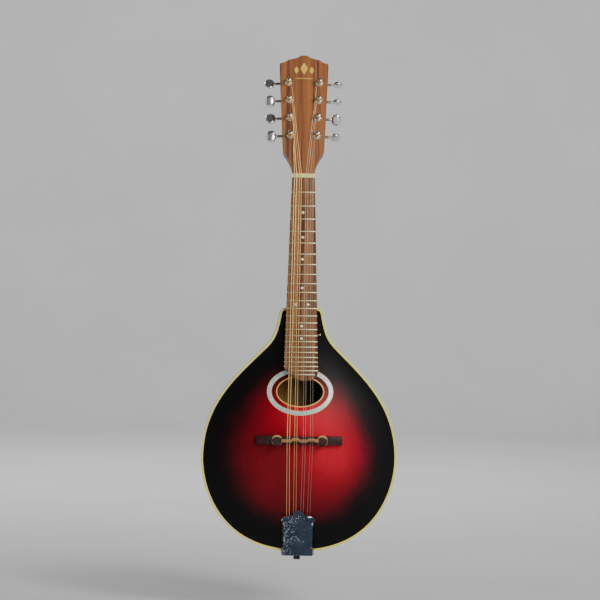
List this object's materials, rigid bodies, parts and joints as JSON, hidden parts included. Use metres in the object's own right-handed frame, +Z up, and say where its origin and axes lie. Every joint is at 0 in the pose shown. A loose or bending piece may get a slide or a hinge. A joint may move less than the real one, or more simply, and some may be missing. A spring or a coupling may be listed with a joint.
{
  "type": "mandolin",
  "caption": "Arched-top mandolin with a teardrop body, oval soundhole, pitched headstock, geared tuning machines, floating bridge and a slide-on tailpiece cover.",
  "frame": {"origin": "middle of the end pin's flat end, at the tail of the body", "axes": "+Z runs up the neck to the headstock, the face with the strings looks along -Y, and +X is the treble side"},
  "size_m": [0.2608, 0.1077, 0.6818],
  "materials": {
    "sunburst_top": "gloss lacquer over a red to black sunburst",
    "stained_maple": "gloss lacquer over dark red-brown maple",
    "neck_mahogany": "worn satin lacquer over red-brown mahogany",
    "bare_spruce": "bare sawn spruce",
    "ivory_binding": "yellowed celluloid",
    "pearl_ring": "inlaid pearl between cream lines",
    "pearl_dot": "mother of pearl",
    "streaked_veneer": "streaked walnut-brown veneer under thin lacquer",
    "rosewood": "oiled rosewood with dark streaks",
    "ebony": "dark oiled hardwood, polished by handling",
    "bone": "aged bone",
    "fret_wire": "nickel silver, worn bright on top",
    "brass": "aged brass",
    "nickel": "nickel plate with specks of corrosion",
    "chrome": "polished plate",
    "steel": "plain steel",
    "steel_string": "plain drawn steel",
    "bronze_string": "bronze winding on steel"
  },
  "bodies": {
    "root": {"top_plate": "sunburst_top", "back_plate": "stained_maple", "rim": "stained_maple", "top_binding": "ivory_binding", "rosette_ring": "pearl_ring", "soundhole_binding": "ivory_binding", "neck_block": "bare_spruce", "tail_block": "bare_spruce", "top_lining": "bare_spruce", "back_lining": "bare_spruce", "top_brace": "bare_spruce", "neck": "neck_mahogany", "headstock_veneer": "streaked_veneer", "fretboard_riser": "neck_mahogany", "fretboard": "rosewood", "nut": "bone", "bridge_base": "ebony", "bridge_post_bass": "brass", "bridge_post_treble": "brass", "tailpiece_base": "nickel", "end_pin": "ebony", "tuner_plate_bass": "nickel", "tuner_plate_treble": "nickel", "pickguard_pin": "brass", "string_1": "bronze_string", "string_2": "bronze_string", "string_3": "bronze_string", "string_4": "bronze_string", "string_5": "steel_string", "string_6": "steel_string", "string_7": "steel_string", "string_8": "steel_string"},
    "saddle": {"bridge_saddle": "ebony"},
    "wheel_bass": {"bridge_wheel_bass": "brass"},
    "wheel_treble": {"bridge_wheel_treble": "brass"},
    "tail_cover": {"tailpiece_cover": "nickel"},
    "button_1": {"tuner_shaft_1": "steel", "tuner_button_1": "chrome"},
    "post_1": {"tuner_post_1": "brass"},
    "button_2": {"tuner_shaft_2": "steel", "tuner_button_2": "chrome"},
    "post_2": {"tuner_post_2": "brass"},
    "button_3": {"tuner_shaft_3": "steel", "tuner_button_3": "chrome"},
    "post_3": {"tuner_post_3": "brass"},
    "button_4": {"tuner_shaft_4": "steel", "tuner_button_4": "chrome"},
    "post_4": {"tuner_post_4": "brass"},
    "button_5": {"tuner_shaft_5": "steel", "tuner_button_5": "chrome"},
    "post_5": {"tuner_post_5": "brass"},
    "button_6": {"tuner_shaft_6": "steel", "tuner_button_6": "chrome"},
    "post_6": {"tuner_post_6": "brass"},
    "button_7": {"tuner_shaft_7": "steel", "tuner_button_7": "chrome"},
    "post_7": {"tuner_post_7": "brass"},
    "button_8": {"tuner_shaft_8": "steel", "tuner_button_8": "chrome"},
    "post_8": {"tuner_post_8": "brass"}
  },
  "joints": [
    {"name": "saddle_height", "type": "slide", "parent": "root", "child": "saddle", "axis": [0, -1, 0], "range_m": [-0.0002, 0.0022], "deforming": ["string_1", "string_2", "string_3", "string_4", "string_5", "string_6", "string_7", "string_8"]},
    {"name": "wheel_bass_turn", "type": "hinge", "parent": "saddle", "child": "wheel_bass", "pos_m": [-0.03, -0.0404, 0.162], "axis": [0, -1, 0], "range_deg": [-90, 1080]},
    {"name": "wheel_treble_turn", "type": "hinge", "parent": "saddle", "child": "wheel_treble", "pos_m": [0.03, -0.0404, 0.162], "axis": [0, -1, 0], "range_deg": [-90, 1080]},
    {"name": "cover_slide", "type": "slide", "parent": "root", "child": "tail_cover", "axis": [0, 0.0833, -0.9965], "range_m": [0, 0.064]},
    {"name": "button_1_turn", "type": "hinge", "parent": "root", "child": "button_1", "pos_m": [-0.01816, 0.02759, 0.57006], "axis": [-0.9991, -0.0121, -0.0397], "continuous": true},
    {"name": "post_1_turn", "type": "hinge", "parent": "root", "child": "post_1", "pos_m": [-0.0179, 0.00653, 0.56991], "axis": [0, -0.9563, 0.2924], "continuous": true},
    {"name": "button_2_turn", "type": "hinge", "parent": "root", "child": "button_2", "pos_m": [-0.01923, 0.0351, 0.59461], "axis": [-0.9991, -0.0121, -0.0397], "continuous": true},
    {"name": "post_2_turn", "type": "hinge", "parent": "root", "child": "post_2", "pos_m": [-0.01897, 0.01404, 0.59447], "axis": [0, -0.9563, 0.2924], "continuous": true},
    {"name": "button_3_turn", "type": "hinge", "parent": "root", "child": "button_3", "pos_m": [-0.02029, 0.04261, 0.61917], "axis": [-0.9991, -0.0121, -0.0397], "continuous": true},
    {"name": "post_3_turn", "type": "hinge", "parent": "root", "child": "post_3", "pos_m": [-0.02003, 0.02154, 0.61903], "axis": [0, -0.9563, 0.2924], "continuous": true},
    {"name": "button_4_turn", "type": "hinge", "parent": "root", "child": "button_4", "pos_m": [-0.02136, 0.05011, 0.64372], "axis": [-0.9991, -0.0121, -0.0397], "continuous": true},
    {"name": "post_4_turn", "type": "hinge", "parent": "root", "child": "post_4", "pos_m": [-0.0211, 0.02905, 0.64358], "axis": [0, -0.9563, 0.2924], "continuous": true},
    {"name": "button_5_turn", "type": "hinge", "parent": "root", "child": "button_5", "pos_m": [0.02136, 0.05011, 0.64372], "axis": [0.9991, -0.0121, -0.0397], "continuous": true},
    {"name": "post_5_turn", "type": "hinge", "parent": "root", "child": "post_5", "pos_m": [0.0211, 0.02905, 0.64358], "axis": [0, -0.9563, 0.2924], "continuous": true},
    {"name": "button_6_turn", "type": "hinge", "parent": "root", "child": "button_6", "pos_m": [0.02029, 0.04261, 0.61917], "axis": [0.9991, -0.0121, -0.0397], "continuous": true},
    {"name": "post_6_turn", "type": "hinge", "parent": "root", "child": "post_6", "pos_m": [0.02003, 0.02154, 0.61903], "axis": [0, -0.9563, 0.2924], "continuous": true},
    {"name": "button_7_turn", "type": "hinge", "parent": "root", "child": "button_7", "pos_m": [0.01923, 0.0351, 0.59461], "axis": [0.9991, -0.0121, -0.0397], "continuous": true},
    {"name": "post_7_turn", "type": "hinge", "parent": "root", "child": "post_7", "pos_m": [0.01897, 0.01404, 0.59447], "axis": [0, -0.9563, 0.2924], "continuous": true},
    {"name": "button_8_turn", "type": "hinge", "parent": "root", "child": "button_8", "pos_m": [0.01816, 0.02759, 0.57006], "axis": [0.9991, -0.0121, -0.0397], "continuous": true},
    {"name": "post_8_turn", "type": "hinge", "parent": "root", "child": "post_8", "pos_m": [0.0179, 0.00653, 0.56991], "axis": [0, -0.9563, 0.2924], "continuous": true}
  ],
  "couplings": [
    {"joint": "saddle_height", "follows": "wheel_bass_turn", "m_per_rad": 0.00011141},
    {"joint": "wheel_treble_turn", "follows": "wheel_bass_turn", "ratio": 1},
    {"joint": "post_1_turn", "follows": "button_1_turn", "ratio": -0.071429},
    {"joint": "post_2_turn", "follows": "button_2_turn", "ratio": -0.071429},
    {"joint": "post_3_turn", "follows": "button_3_turn", "ratio": -0.071429},
    {"joint": "post_4_turn", "follows": "button_4_turn", "ratio": -0.071429},
    {"joint": "post_5_turn", "follows": "button_5_turn", "ratio": 0.071429},
    {"joint": "post_6_turn", "follows": "button_6_turn", "ratio": 0.071429},
    {"joint": "post_7_turn", "follows": "button_7_turn", "ratio": 0.071429},
    {"joint": "post_8_turn", "follows": "button_8_turn", "ratio": 0.071429}
  ]
}
